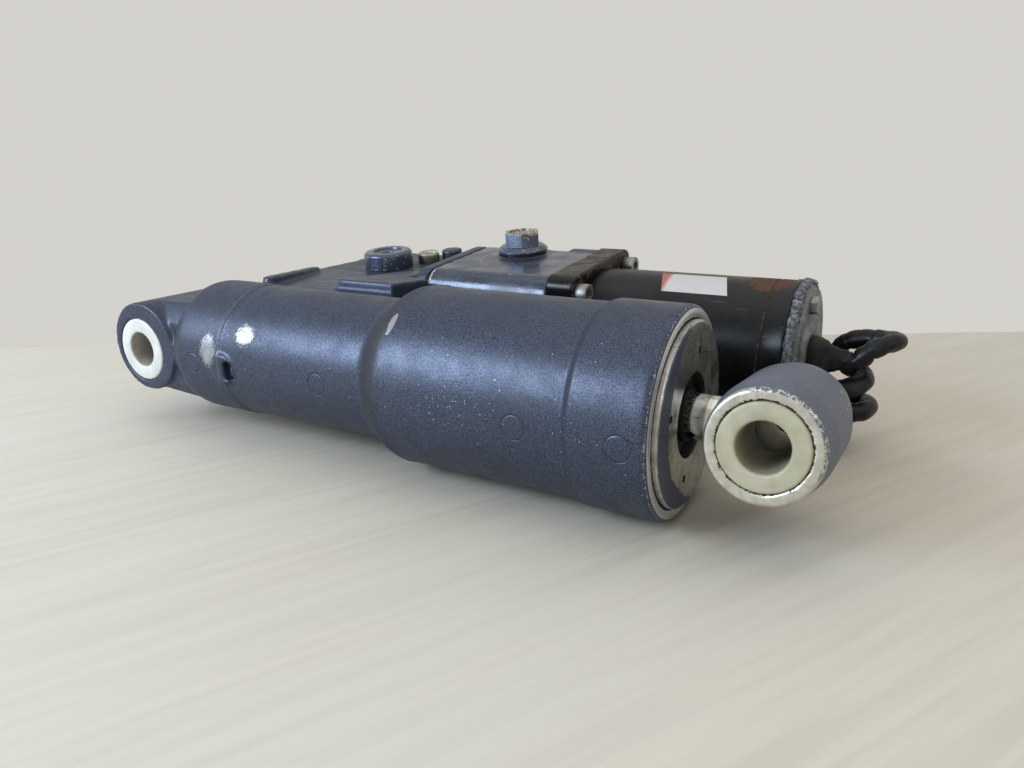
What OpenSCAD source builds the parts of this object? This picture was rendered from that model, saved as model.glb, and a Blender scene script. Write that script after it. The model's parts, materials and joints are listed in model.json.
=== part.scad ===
// Power trim and tilt unit: a two-stage hydraulic ram with its gear pump, reservoir and electric motor.
// Origin: centre of the lower eye. +X runs along the ram to the rod end, +Y to the pump, +Z up.

/* [Ram] */
// Closed distance between the two eye centres
eye_distance = 321; // [316:1:330]
// Radius of the pin hole in both eyes
pin_r = 9; // [8:0.5:10]
// Outside radius of the narrow part of the ram casting
small_r = 33.2; // [32.6:0.1:33.8]
// Outside radius of the wide part of the ram casting
big_r = 40.3; // [39.5:0.1:41]
// Outside radius of the band at the open end
band_r = 42; // [41.5:0.1:43]
// Length of the casting from the lower eye centre to its open end
casting_len = 286; // [285:0.5:287]
// Radius of the chromed rod
rod_r = 9; // [8:0.5:9.5]

/* [Eyes] */
// Width of the lower eye
lower_w = 63.2; // [60:0.2:64]
// Outside radius of the lower bushes
lower_bush_r = 16.6; // [15:0.1:17]
// Width of the upper eye
upper_w = 57.8; // [54:0.2:60]
// Outside radius of the upper bushes
upper_bush_r = 15.9; // [15:0.1:16.4]

/* [Pump and motor] */
// Distance from the ram axis to the motor axis
pump_y = 102.5; // [102:0.5:106]
// Cant of the pump group about the ram's direction, in degrees
pump_tilt = 5; // [4:0.5:7]
// Outside radius of the motor can
motor_r = 36; // [35:0.5:36.5]
// Half the width of the reservoir and the motor flange
block_y = 37; // [36.5:0.5:38]
// Thickness of the motor flange
flange_t = 15; // [13:1:16]
// Length of the motor can
can_len = 99.4; // [98:0.2:101]

/* [Leads] */
// Diameter of the sleeved motor leads
lead_d = 10; // [8:0.5:11]

/* [Hidden] */
$fn = 72;

// Stations along the ram
dome_x = 22;
dome_fillet = 13;
dome_r = small_r + 0.8;
ring_x = 63;
neck_x0 = 151;
neck_x1 = 165;
band_x0 = 252.5;
band_x1 = 256;
lug_r = 23.3;
lug_z = 1.8;
neck_half_z = 25.5;
rest_z = -42;
lug_x = 2.5;
neck_half_y = 29;
bush_gap = 1.6;

// Bores of the ram
narrow_bore_r = 27.05;
wide_bore_r = 35;
bore_x0 = 31;
wide_bore_x0 = 165;
cap_x0 = 262;
cap_r = 36.5;
cap_proud = 2.2;
cap_face_x = casting_len + cap_proud;
cap_neck_x = 280;
wiper_r = 16.6;
pin_hole_radius = 24.8;
pin_hole_angle = 76;
pin_hole_r = 1.6;
pin_hole_depth = 7;

// Sleeve and pistons at rest
sleeve_r = 27;
sleeve_bore_r = 23;
sleeve_x0 = 34;
sleeve_x1 = 192;
flange_x0 = 168;
stop_x0 = 182;
free_x0 = 36;
free_x1 = 45;
piston_x0 = 48;
piston_x1 = 72;
piston_r = 22.95;
valve_ring_r = 16;

// Turn of the rod in its piston at rest, in degrees, and the end of its full radius
rod_turn = -6;
rod_seat_x = 302;
cross_hole_x = 290.5;
cross_hole_angle = 32;

// Web and valve shelf, in the ram's and in the pump's frame
web_z0 = 14;
fold_y = 84.5;
fold_z = 27.5;
shelf_top = 29;
shelf_bottom = -24;
shelf_x1 = 110;
mate_x = 117;
reservoir_x0 = 118.2;
roof_x0 = 87;
roof_y = 22;

// Pump group stations along X
block_half_z = 36;
block_z = 2;
block_r = 11;
flange_x = 191.7;
can_x0 = flange_x + flange_t;
can_x1 = can_x0 + can_len;
cover_x1 = can_x1 + 6;
outlet_x = cover_x1 + 2;
screw_y = 30;
screw_z = 31;
plug_x = 149;
plug_y = 17;
cap_boss_x = 64.5;
cap_boss_y = -1.5;
release_x = 82;
release_y = 16;
spool_x = 96;
seat_y = 18;
ball_r = 3.4;
ball_y = seat_y + 2.2;
gear_x0 = 127.2;
gear_x1 = 139;
gear_teeth = 12;
gear_pitch_r = 7.5;
gear_tip_r = 8.6;
gear_root_r = 6;
gear_shaft_r = 4;
coupling_x0 = 168.5;
coupling_x1 = 175.2;

// Hank and connector beside the motor
hank_x0 = 176;
hank_x1 = 286;
hank_y = 158;
hank_r = 16;
plug_x0 = 142;

// Lead route, centre line from the grommet to where the hank starts
LEAD = [
    [329, 90, 4], [334, 90, 4], [339, 91, 9], [345, 94, 12], [348, 101, 12], [345, 108, 11], [339, 111, 10],
    [332, 112, 9], [326, 112, 7], [323, 112, 2], [326, 111, -3], [331, 109, -5], [335, 105, -5],
    [337, 100, -6], [336, 94, -7], [332, 90, -9], [326, 88, -11], [322, 88, -14], [326, 88, -18],
    [332, 89, -20], [337, 92, -20], [340, 98, -20], [338, 105, -20], [332, 110, -21], [326, 113, -24],
    [323, 116, -30], [322, 121, -35], [319, 127, -37], [314, 134, -37], [307, 141, -37], [297, 147, -37],
    [286, 148, -37]
];

module about_x() {
    rotate([0, 90, 0]) rotate_extrude() children();
}

module about_y() {
    rotate([-90, 0, 0]) rotate_extrude() children();
}

module rod_x(x0, x1, r) {
    translate([x0, 0, 0]) rotate([0, 90, 0]) cylinder(h = x1 - x0, r = r);
}

module rod_y(y0, y1, r) {
    translate([0, y1, 0]) rotate([90, 0, 0]) cylinder(h = y1 - y0, r = r);
}

module ring_x_solid(x0, x1, r_out, r_in) {
    difference() {
        rod_x(x0, x1, r_out);
        rod_x(x0 - 1, x1 + 1, r_in);
    }
}

// Torus round the X axis, for a seal of round section
module o_ring_x(x, r, thick) {
    about_x() translate([r, x]) circle(r = thick / 2, $fn = 24);
}

module rounded_outline(half_y, half_z, r) {
    square([2 * (half_y - r), 2 * half_z], center = true);
    square([2 * half_y, 2 * (half_z - r)], center = true);
    for (sy = [-1, 1])
        for (sz = [-1, 1])
            translate([sy * (half_y - r), sz * (half_z - r)]) circle(r = r);
}

// Solid with rounded long edges that runs along X
module rounded_bar(x0, x1, half_y, half_z, r) {
    translate([x0, 0, 0]) rotate([90, 0, 90]) linear_extrude(x1 - x0) rounded_outline(half_y, half_z, r);
}

module at_pump() {
    translate([0, pump_y, 0]) rotate([pump_tilt, 0, 0]) children();
}

module at_pump_screws() {
    for (s = [-1, 1])
        translate([0, s * 10, s * 16.5 - gear_pitch_r]) children();
}

module hex_z(z0, z1, across_flats) {
    translate([0, 0, z0]) cylinder(h = z1 - z0, r = across_flats / 2 / cos(30), $fn = 6);
}

// Hex socket cap screw along X, its head on the +X side at x_head
module cap_screw(x_head, length) {
    difference() {
        union() {
            rod_x(x_head, x_head + 6, 5);
            rod_x(x_head - length, x_head, 3);
        }
        translate([x_head + 3, 0, 0]) rotate([0, 90, 0]) cylinder(h = 4, r = 2.9, $fn = 6);
    }
}

module at_flange_screws() {
    for (sy = [-1, 1])
        for (sz = [-1, 1])
            translate([0, sy * screw_y, sz * screw_z]) children();
}

module casting_outside() {
    about_x() {
        translate([0, dome_x]) square([dome_r - dome_fillet, ring_x - dome_x]);
        translate([0, dome_x + dome_fillet]) square([dome_r, ring_x - dome_x - dome_fillet]);
        translate([dome_r - dome_fillet, dome_x + dome_fillet]) circle(r = dome_fillet);
        polygon([
            [0, ring_x - 1], [small_r, ring_x], [small_r, neck_x0], [big_r, neck_x1], [big_r, band_x0],
            [band_r, band_x1], [band_r, casting_len - 1.5], [band_r - 1.5, casting_len], [0, casting_len]
        ]);
    }
    translate([lug_x, 0, lug_z]) rod_y(-lower_w / 2, lower_w / 2, lug_r);
    intersection() {
        translate([0, neck_half_y, 0]) rotate([90, 0, 0]) linear_extrude(2 * neck_half_y)
            polygon([
                [lug_x, lug_z + lug_r], [dome_x + 12, neck_half_z],
                [dome_x + 12, -neck_half_z], [lug_x, lug_z - lug_r]
            ]);
        rod_x(-lug_r, dome_x + 14, small_r);
    }
}

// Flat web that joins the ram to the valve shelf, with its raised roof and end rib
module web() {
    intersection() {
        linear_extrude(60) polygon([
            [50, 0], [20, 87], [shelf_x1 - 0.1, 87], [shelf_x1 - 0.1, 58], [128, 52], [128, 0]
        ]);
        union() {
            rotate([90, 0, 90]) linear_extrude(140)
                polygon([[14, 30], [fold_y, fold_z], [fold_y, web_z0], [14, web_z0]]);
            intersection() {
                rotate([90, 0, 90]) linear_extrude(140)
                    polygon([[roof_y, 20], [roof_y + 0.6, 35.2], [fold_y, 30.5], [fold_y, 20]]);
                translate([0, 90, 0]) rotate([90, 0, 0]) linear_extrude(90)
                    polygon([[roof_x0, 20], [roof_x0 + 3, 30], [roof_x0 + 9, 40], [130, 40], [130, 20]]);
            }
        }
    }
    hull() {
        translate([49, 17, 20]) cylinder(h = 14.5, r = 3.5, $fn = 24);
        translate([31, 68, 16]) cylinder(h = 15, r = 3.5, $fn = 24);
    }
}

module shelf() {
    translate([0, 0, shelf_bottom]) linear_extrude(shelf_top - shelf_bottom) polygon([
        [20, -16], [29, 8], [29, 28], [38, block_y], [shelf_x1, block_y],
        [shelf_x1, -block_y], [44, -block_y], [20, -28]
    ]);
    translate([cap_boss_x, cap_boss_y, 20]) cylinder(h = 9.5, r = 16);
    translate([release_x, release_y, 20]) cylinder(h = 9.4, r = 9.5);
    translate([92, 27, 20]) cylinder(h = 15.5, r = 6.3);
    translate([0, 0, block_z]) rounded_bar(shelf_x1, mate_x, block_y, block_half_z, block_r);
}

// Bores in the valve shelf, in the pump's frame
module shelf_bores() {
    translate([cap_boss_x, cap_boss_y, 8]) cylinder(h = 40, r = 10);
    translate([release_x, release_y, -8]) cylinder(h = 60, r = 4.05);
    translate([spool_x, 0, 0]) rod_y(-15, 15, 6.05);
    translate([spool_x, 0, 0]) rod_y(-seat_y - 1, seat_y + 1, 2.6);
    for (side = [0, 180])
        translate([spool_x, 0, 0]) rotate([0, 0, side]) union() {
            rod_y(seat_y, 27.5, 4.2);
            rod_y(27, 60, 8);
        }
    at_pump_screws() rod_x(mate_x - 10, mate_x + 1, 2);
}

module cylinder_body() {
    color([0.24, 0.27, 0.34]) difference() {
        union() {
            casting_outside();
            web();
            at_pump() shelf();
            translate([65, 0, -2]) rod_y(-small_r - 1.4, -24, 7.4);
        }
        rod_y(-60, 60, lower_bush_r);
        rod_x(bore_x0, wide_bore_x0 + 1, narrow_bore_r);
        rod_x(wide_bore_x0, cap_x0 + 1, wide_bore_r);
        rod_x(cap_x0, casting_len + 5, cap_r);
        translate([66.2, -40, -7]) cube([5, 10.5, 9.4]);
        at_pump() shelf_bores();
        // Oil gallery from the valve shelf to the narrow bore
        translate([60, 0, 21]) rod_y(14, 95, 2.5);
    }
}

module bush_pair(width, r_out) {
    for (side = [-1, 1])
        rotate([0, 0, side > 0 ? 0 : 180]) about_y() polygon([
            [pin_r, bush_gap / 2], [r_out, bush_gap / 2], [r_out, width / 2 - 0.8], [r_out - 0.8, width / 2],
            [pin_r + 0.8, width / 2], [pin_r, width / 2 - 0.8]
        ]);
}

module lower_bushes() {
    color([0.88, 0.89, 0.86]) bush_pair(lower_w, lower_bush_r);
}

// Rod eye's own frame, turned with the rod
module at_eye() {
    rotate([rod_turn, 0, 0]) translate([eye_distance, 0, 0]) children();
}

module upper_bushes() {
    color([0.86, 0.83, 0.72]) at_eye() bush_pair(upper_w, upper_bush_r);
}

module end_cap() {
    color([0.66, 0.66, 0.65]) difference() {
        about_x() polygon([
            [9.6, cap_x0], [cap_r, cap_x0], [cap_r, cap_face_x - 1], [cap_r - 1, cap_face_x],
            [wiper_r, cap_face_x], [wiper_r, cap_neck_x], [9.6, cap_neck_x]
        ]);
        about_x() translate([34, cap_x0 + 3.5]) square([4, 5]);
        about_x() translate([9, cap_x0 + 5]) square([4.6, 7]);
        for (a = [0 : 90 : 270])
            rotate([a + pin_hole_angle, 0, 0]) translate([0, pin_hole_radius, 0])
                rod_x(cap_face_x - pin_hole_depth, cap_face_x + 1, pin_hole_r);
    }
}

module end_cap_seal() {
    color("black") o_ring_x(cap_x0 + 6, 35.25, 2.4);
}

module rod_seal() {
    color([0.12, 0.12, 0.13]) ring_x_solid(cap_x0 + 5, cap_x0 + 12, 13.6, rod_r + 0.05);
}

module rod_wiper() {
    color([0.05, 0.05, 0.05]) about_x() polygon([
        [rod_r + 0.05, cap_neck_x], [wiper_r, cap_neck_x], [wiper_r, cap_face_x - 1.2],
        [wiper_r - 1.2, cap_face_x - 1.2], [wiper_r - 1.8, cap_face_x - 3.2], [10.6, cap_face_x - 3.2],
        [10, cap_face_x - 0.4], [rod_r + 0.05, cap_face_x - 0.4]
    ]);
}

module trim_sleeve() {
    color([0.72, 0.72, 0.73]) ring_x_solid(sleeve_x0, sleeve_x1, sleeve_r, sleeve_bore_r);
}

module trim_piston() {
    color([0.75, 0.75, 0.76]) difference() {
        ring_x_solid(flange_x0, sleeve_x1, wide_bore_r - 0.05, sleeve_r);
        about_x() translate([32, flange_x0 + 9]) square([4, 5]);
    }
}

module trim_piston_seal() {
    color("black") ring_x_solid(flange_x0 + 9, flange_x0 + 14, wide_bore_r - 0.02, 32);
}

module sleeve_stop_ring() {
    color([0.6, 0.6, 0.6]) ring_x_solid(stop_x0, sleeve_x1, sleeve_bore_r, 14);
}

module free_piston() {
    color([0.74, 0.74, 0.72]) difference() {
        rod_x(free_x0, free_x1, piston_r);
        about_x() translate([20, free_x0 + 3]) square([4, 3]);
        rod_x(free_x0 + 5, free_x1 + 1, 12);
    }
}

module free_piston_seal() {
    color("black") ring_x_solid(free_x0 + 3, free_x0 + 6, sleeve_bore_r - 0.02, 20);
}

module at_shock_valves() {
    for (a = [0 : 90 : 270])
        rotate([a + 45, 0, 0]) translate([0, valve_ring_r, 0]) children();
}

module tilt_piston() {
    color([0.7, 0.7, 0.71]) difference() {
        rod_x(piston_x0, piston_x1, piston_r);
        rod_x(piston_x0 - 1, piston_x1 + 1, 7.05);
        about_x() translate([19.5, piston_x0 + 9]) square([4, 5]);
        at_shock_valves() rod_x(piston_x0 - 1, piston_x0 + 8, 3);
        at_shock_valves() rod_x(piston_x0 - 1, piston_x1 + 1, 1.2);
    }
}

module tilt_piston_seal() {
    color([0.35, 0.2, 0.12]) ring_x_solid(piston_x0 + 9, piston_x0 + 14, sleeve_bore_r - 0.02, 19.5);
}

module shock_balls() {
    color("silver") at_shock_valves() translate([piston_x0 + 5.6, 0, 0]) sphere(r = 2.4);
}

module shock_springs() {
    color("silver") at_shock_valves() ring_x_solid(piston_x0, piston_x0 + 3.1, 2.4, 1.6);
}

module piston_rod() {
    color([0.82, 0.83, 0.85]) difference() {
        union() {
            rod_x(piston_x1 + 0.05, rod_seat_x, rod_r);
            rod_x(piston_x0 - 2.6, piston_x1 + 0.05, 7);
            rod_x(rod_seat_x, eye_distance - upper_bush_r - 0.8, 7.5);
        }
        translate([cross_hole_x, 0, 0]) rotate([cross_hole_angle, 0, 0]) rod_y(-12, 12, 1.4);
    }
}

module rod_nut() {
    color([0.55, 0.55, 0.56]) difference() {
        translate([piston_x0 - 2.6, 0, 0]) rotate([0, 90, 0]) cylinder(h = 2.5, r = 11, $fn = 6);
        rod_x(piston_x0 - 4, piston_x0 + 1, 7);
    }
}

module rod_eye() {
    color([0.34, 0.35, 0.42]) difference() {
        at_eye() about_y() polygon([
            [0, -upper_w / 2], [19.6, -upper_w / 2], [20.3, 1 - upper_w / 2], [21.8, -16], [21.8, 16],
            [20.3, upper_w / 2 - 1], [19.6, upper_w / 2], [0, upper_w / 2]
        ]);
        at_eye() rod_y(-60, 60, upper_bush_r);
        rod_x(290, rod_seat_x, rod_r);
        rod_x(290, 310, 7.5);
    }
}

module valve_cap() {
    color([0.15, 0.18, 0.26]) at_pump() translate([cap_boss_x, cap_boss_y, 0]) difference() {
        union() {
            translate([0, 0, 29.5]) cylinder(h = 8.6, r = 14.6);
            translate([0, 0, 38.1]) cylinder(h = 1.4, r1 = 14.6, r2 = 13.2);
            translate([0, 0, 14]) cylinder(h = 15.5, r = 10);
        }
        translate([0, 0, 38.3]) cylinder(h = 3, r = 8.6);
        translate([0, 0, 36.2]) cylinder(h = 6, r = 4, $fn = 6);
        translate([0, 0, 17]) rotate_extrude() translate([8, 0]) square([4, 3]);
    }
}

module valve_cap_seal() {
    color("black") at_pump() translate([cap_boss_x, cap_boss_y, 18.5]) rotate_extrude()
        translate([9, 0]) circle(r = 0.95, $fn = 24);
}

module release_valve() {
    color([0.72, 0.68, 0.52]) at_pump() translate([release_x, release_y, 0]) difference() {
        union() {
            translate([0, 0, 29.4]) cylinder(h = 5, r = 6.5);
            translate([0, 0, 34.4]) cylinder(h = 1.4, r1 = 6.5, r2 = 5.3);
            translate([0, 0, 0]) cylinder(h = 29.4, r = 4);
            translate([0, 0, -5]) cylinder(h = 5, r1 = 1, r2 = 4);
        }
        translate([-9, -0.9, 33.8]) cube([18, 1.8, 4]);
        translate([0, 0, 12]) rotate_extrude() translate([2.9, 0]) square([3, 2]);
    }
}

module release_valve_seal() {
    color("black") at_pump() translate([release_x, release_y, 13]) rotate_extrude()
        translate([3.5, 0]) circle(r = 0.5, $fn = 24);
}

module shuttle_spool() {
    color("silver") at_pump() translate([spool_x, 0, 0]) difference() {
        union() {
            rod_y(-9, 9, 6);
            rod_y(-13, 13, 1.5);
        }
        rotate([-90, 0, 0]) rotate_extrude() translate([4.4, -1.5]) square([3, 3]);
    }
}

module check_plugs() {
    color([0.6, 0.6, 0.6]) at_pump() for (side = [0, 180])
        translate([spool_x, 0, 0]) rotate([0, 0, side]) difference() {
            rod_y(27, block_y - 0.5, 8);
            translate([0, block_y - 4, 0]) rotate([-90, 0, 0]) cylinder(h = 5, r = 3, $fn = 6);
        }
}

module check_balls() {
    color("silver") at_pump() for (side = [-1, 1])
        translate([spool_x, side * ball_y, 0]) sphere(r = ball_r);
}

module check_springs() {
    color("silver") at_pump() for (side = [0, 180])
        translate([spool_x, 0, 0]) rotate([0, 0, side]) difference() {
            rod_y(ball_y + ball_r, 27, 3);
            rod_y(ball_y, 28, 2.2);
        }
}

module manifold_seal() {
    color("black") at_pump() translate([mate_x, 0, block_z]) rotate([90, 0, 90])
        linear_extrude(reservoir_x0 - mate_x) difference() {
            rounded_outline(35.5, 34.5, 8);
            rounded_outline(32.5, 31.5, 6);
        }
}

module gear(x0, x1) {
    step = 360 / gear_teeth;
    flank = [
        [gear_root_r, -8.5], [gear_pitch_r, -5.4], [gear_tip_r, -2.6],
        [gear_tip_r, 2.6], [gear_pitch_r, 5.4], [gear_root_r, 8.5]
    ];
    translate([x0, 0, 0]) rotate([90, 0, 90]) linear_extrude(x1 - x0) polygon([
        for (i = [0 : gear_teeth - 1])
            for (p = flank)
                p[0] * [cos(i * step + p[1]), sin(i * step + p[1])]
    ]);
}

// Places children on the drive axis and again on the driven axis below it
module at_both_gears() {
    children();
    translate([0, 0, -2 * gear_pitch_r]) children();
}

module pump_housing() {
    color([0.55, 0.56, 0.57]) at_pump() difference() {
        translate([0, 0, -gear_pitch_r]) rounded_bar(mate_x, gear_x1 + 0.2, 14, 20.5, 5);
        at_both_gears() rod_x(gear_x0 - 0.1, gear_x1 + 1, gear_tip_r + 0.15);
        at_both_gears() rod_x(gear_x0 - 5, gear_x1, gear_shaft_r + 0.05);
        at_pump_screws() rod_x(mate_x - 1, gear_x1 + 1, 2.1);
    }
}

module pump_cover() {
    color([0.6, 0.61, 0.62]) at_pump() difference() {
        translate([0, 0, -gear_pitch_r]) rounded_bar(gear_x1 + 0.2, gear_x1 + 10, 14, 20.5, 5);
        rod_x(gear_x1, gear_x1 + 11, gear_shaft_r + 0.05);
        translate([0, 0, -2 * gear_pitch_r]) rod_x(gear_x1, gear_x1 + 6, gear_shaft_r + 0.05);
        at_pump_screws() rod_x(gear_x1, gear_x1 + 11, 2.1);
    }
}

module pump_screws() {
    color("dimgray") at_pump() at_pump_screws() union() {
        rod_x(gear_x1 + 10, gear_x1 + 14, 3.4);
        rod_x(mate_x - 10, gear_x1 + 10, 2);
    }
}

module suction_filter() {
    color([0.75, 0.72, 0.6]) at_pump() translate([mate_x, 23, -14]) difference() {
        rod_x(0, 26, 6);
        rod_x(2, 24, 5);
    }
}

module drive_gear() {
    color([0.5, 0.5, 0.52]) at_pump() union() {
        gear(gear_x0, gear_x1);
        rod_x(gear_x0 - 4.5, coupling_x0 - 0.2, gear_shaft_r);
        translate([coupling_x0 - 4, -1.4, -3.6]) cube([coupling_x1 - coupling_x0 + 3.8, 2.8, 7.2]);
    }
}

module driven_gear() {
    color([0.5, 0.5, 0.52]) at_pump() translate([0, 0, -2 * gear_pitch_r]) union() {
        rotate([180 / gear_teeth, 0, 0]) gear(gear_x0, gear_x1);
        rod_x(gear_x0 - 4.5, gear_x1 + 5, gear_shaft_r);
    }
}

module reservoir_housing() {
    color([0.16, 0.19, 0.26]) at_pump() difference() {
        union() {
            translate([0, 0, block_z]) rounded_bar(reservoir_x0, flange_x, block_y, block_half_z, block_r);
            translate([plug_x, plug_y, 30]) cylinder(h = 8.6, r = 15.5);
            translate([0, screw_y, screw_z]) rod_x(174, flange_x, 8);
        }
        rounded_bar(reservoir_x0 - 1, 174, block_y - 6, block_half_z - 6, 5);
        rod_x(173, flange_x + 1, 20);
        translate([plug_x, plug_y, 20]) cylinder(h = 30, r = 8);
        at_flange_screws() rod_x(176, flange_x + 1, 3);
    }
}

module filler_plug() {
    color([0.14, 0.17, 0.24]) at_pump() translate([plug_x, plug_y, 0]) difference() {
        union() {
            translate([0, 0, 39.1]) cylinder(h = 1.6, r1 = 13.8, r2 = 14.6);
            translate([0, 0, 40.7]) cylinder(h = 2.2, r1 = 14.6, r2 = 12);
            hex_z(42.8, 50.5, 18.6);
            translate([0, 0, 26]) cylinder(h = 13.2, r = 8);
        }
        translate([0, 0, 49.7]) cylinder(h = 2, r = 7.4);
    }
}

module filler_seal() {
    color([0.6, 0.4, 0.2]) at_pump() translate([plug_x, plug_y, 38.6]) difference() {
        cylinder(h = 0.5, r = 12.4);
        translate([0, 0, -1]) cylinder(h = 3, r = 8);
    }
}

module motor_flange() {
    color([0.04, 0.04, 0.05]) at_pump() difference() {
        translate([0, 0, block_z]) rounded_bar(flange_x, can_x0, block_y, 38, 7);
        rod_x(flange_x - 1, can_x0 + 1, 6);
        rod_x(flange_x + 2, can_x0 + 1, 11);
        at_flange_screws() rod_x(flange_x - 1, can_x0 + 1, 3.3);
        about_x() translate([24, flange_x]) square([3, 2]);
    }
}

module flange_seal() {
    color("black") at_pump() about_x() translate([25.5, flange_x + 1]) circle(r = 1, $fn = 24);
}

module flange_screws() {
    color([0.62, 0.62, 0.6]) at_pump() at_flange_screws() cap_screw(can_x0, 28);
}

module shaft_seal() {
    color("black") at_pump() ring_x_solid(flange_x + 2, flange_x + 6.9, 11, 4.1);
}

module front_bearing() {
    color([0.7, 0.7, 0.72]) at_pump() difference() {
        ring_x_solid(flange_x + 7, can_x0, 11, 4.05);
        about_x() translate([6.6, can_x0 - 1]) square([2, 3]);
    }
}

module motor_can() {
    color([0.05, 0.05, 0.055]) at_pump() ring_x_solid(can_x0, can_x1, motor_r, motor_r - 2.6);
}

module magnets() {
    color([0.2, 0.2, 0.21]) at_pump() for (side = [0, 180])
        rotate([side, 0, 0]) intersection() {
            ring_x_solid(can_x0 + 14, can_x0 + 66, motor_r - 2.6, 28);
            translate([can_x0, -20, 8]) cube([80, 40, 40]);
        }
}

module armature_shaft() {
    color("silver") at_pump() difference() {
        union() {
            rod_x(coupling_x0, coupling_x1 + 3, 7);
            rod_x(coupling_x1, can_x1 + 4, 4);
        }
        translate([coupling_x0 - 1, -1.45, -8]) cube([coupling_x1 - coupling_x0 + 1, 2.9, 16]);
    }
}

module armature_core() {
    color([0.35, 0.35, 0.37]) at_pump() difference() {
        rod_x(can_x0 + 16, can_x0 + 62, 27);
        rod_x(can_x0, can_x0 + 80, 4);
        for (a = [0 : 30 : 330])
            rotate([a, 0, 0]) translate([can_x0 + 10, 17, -1.6]) cube([60, 12, 3.2]);
    }
}

module armature_windings() {
    color([0.65, 0.3, 0.12]) at_pump() union() {
        ring_x_solid(can_x0 + 6, can_x0 + 16, 25, 8);
        ring_x_solid(can_x0 + 62, can_x0 + 72, 25, 8);
        for (a = [0 : 30 : 330])
            rotate([a, 0, 0]) translate([can_x0 + 15, 18, -1.4]) cube([48, 7, 2.8]);
    }
}

module commutator() {
    color([0.75, 0.42, 0.2]) at_pump() ring_x_solid(can_x0 + 76, can_x0 + 90, 12, 4);
}

module brushes() {
    color([0.15, 0.15, 0.15]) at_pump() for (side = [0, 180])
        rotate([side, 0, 0]) translate([can_x0 + 78, 12.2, -4]) cube([14, 12, 8]);
}

module brush_plate() {
    color([0.25, 0.22, 0.18]) at_pump() difference() {
        rod_x(can_x0 + 92, can_x0 + 95, motor_r - 2.7);
        rod_x(can_x0 + 90, can_x0 + 99, 6);
    }
}

module at_cover_bolts() {
    for (side = [-1, 1])
        translate([0, side * -6, side * 27.5]) children();
}

module end_cover() {
    color([0.45, 0.46, 0.48]) at_pump() difference() {
        union() {
            rod_x(can_x1, can_x1 + 4, 35.4);
            rod_x(can_x1 + 4, cover_x1, 33);
            translate([can_x1 + 2, -26, -14]) cube([outlet_x - can_x1 - 2, 36, 31]);
        }
        rod_x(can_x1 - 1, can_x1 + 5, 7);
        at_cover_bolts() rod_x(can_x1 - 1, cover_x1 + 2, 2.5);
        translate([0, -12, 5.3]) rod_x(can_x1 - 1, outlet_x + 1, 5);
    }
}

module end_cover_bushing() {
    color([0.7, 0.55, 0.3]) at_pump() ring_x_solid(can_x1, can_x1 + 5, 7, 4.05);
}

module cover_sealant() {
    color([0.6, 0.6, 0.58]) at_pump() ring_x_solid(can_x1, can_x1 + 3.2, 36.6, 35.4);
}

module cover_bolts() {
    color([0.6, 0.6, 0.58]) at_pump() at_cover_bolts() union() {
        translate([cover_x1, 0, 0]) rotate([0, 90, 0]) cylinder(h = 3.2, r = 4.4, $fn = 6);
        rod_x(can_x1 - 4, cover_x1, 2.5);
    }
}

module lead_grommet() {
    color([0.1, 0.1, 0.11]) translate([0, LEAD[0][1], LEAD[0][2]]) about_x() polygon([
        [0, outlet_x], [8.2, outlet_x], [8.2, outlet_x + 4], [5.4, LEAD[0][0]], [0, LEAD[0][0]]
    ]);
}

// Tube with flat rings square to the line, swept along the points
function unit(v) = v / norm(v);
function heading(pts, i) = unit(pts[min(i + 1, len(pts) - 1)] - pts[max(i - 1, 0)]);
function side_of(d) = unit(cross(d, abs(d[2]) > 0.9 ? [1, 0, 0] : [0, 0, 1]));

module tube(pts, r, sides = 8) {
    last = len(pts) - 1;
    points = [
        for (i = [0 : last])
            let (d = heading(pts, i), s = side_of(d), u = cross(s, d))
                for (k = [0 : sides - 1])
                    pts[i] + r * (cos((k + 0.5) * 360 / sides) * s + sin((k + 0.5) * 360 / sides) * u)
    ];
    faces = concat(
        [[for (k = [0 : sides - 1]) k]],
        [[for (k = [sides - 1 : -1 : 0]) last * sides + k]],
        [
            for (i = [0 : last - 1])
                for (k = [0 : sides - 1])
                    [i * sides + k, (i + 1) * sides + k, (i + 1) * sides + (k + 1) % sides, i * sides + (k + 1) % sides]
        ]
    );
    polyhedron(points, faces, convexity = 10);
}

module lead_sleeve() {
    color([0.06, 0.06, 0.07]) tube(LEAD, lead_d / 2);
}

// Folded hank of the rest of the leads, on the surface beside the motor
module lead_hank() {
    color([0.06, 0.06, 0.07]) translate([0, 0, rest_z]) linear_extrude(2 * lead_d) union() {
        translate([hank_x0 + hank_r, hank_y - hank_r]) square([hank_x1 - hank_x0 - hank_r, 2 * hank_r]);
        translate([hank_x0 + hank_r, hank_y]) circle(r = hank_r);
    }
}

module lead_tie() {
    color([0.9, 0.9, 0.88]) translate([234, hank_y, rest_z]) rotate([90, 0, 90]) linear_extrude(4.5) difference() {
        translate([-hank_r - 1.3, 0]) square([2 * hank_r + 2.6, 2 * lead_d + 1.3]);
        translate([-hank_r, -1]) square([2 * hank_r, 2 * lead_d + 1]);
    }
}

// Two-way connector on the end of the leads, with a latch on top and open terminal cavities
module lead_connector() {
    color([0.08, 0.08, 0.09]) translate([plug_x0, hank_y, rest_z]) difference() {
        union() {
            translate([0, -10, 0]) cube([24, 20, 13]);
            translate([24, -7.5, 2]) cube([hank_x0 - plug_x0 - 22, 15, 9]);
            translate([3, -3, 13]) cube([14, 6, 2]);
            translate([19, -11, 0]) cube([3, 22, 14]);
        }
        for (side = [-1, 1])
            translate([-1, side * 4.6 - 3, 3.4]) cube([12, 6, 6.2]);
    }
}

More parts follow.
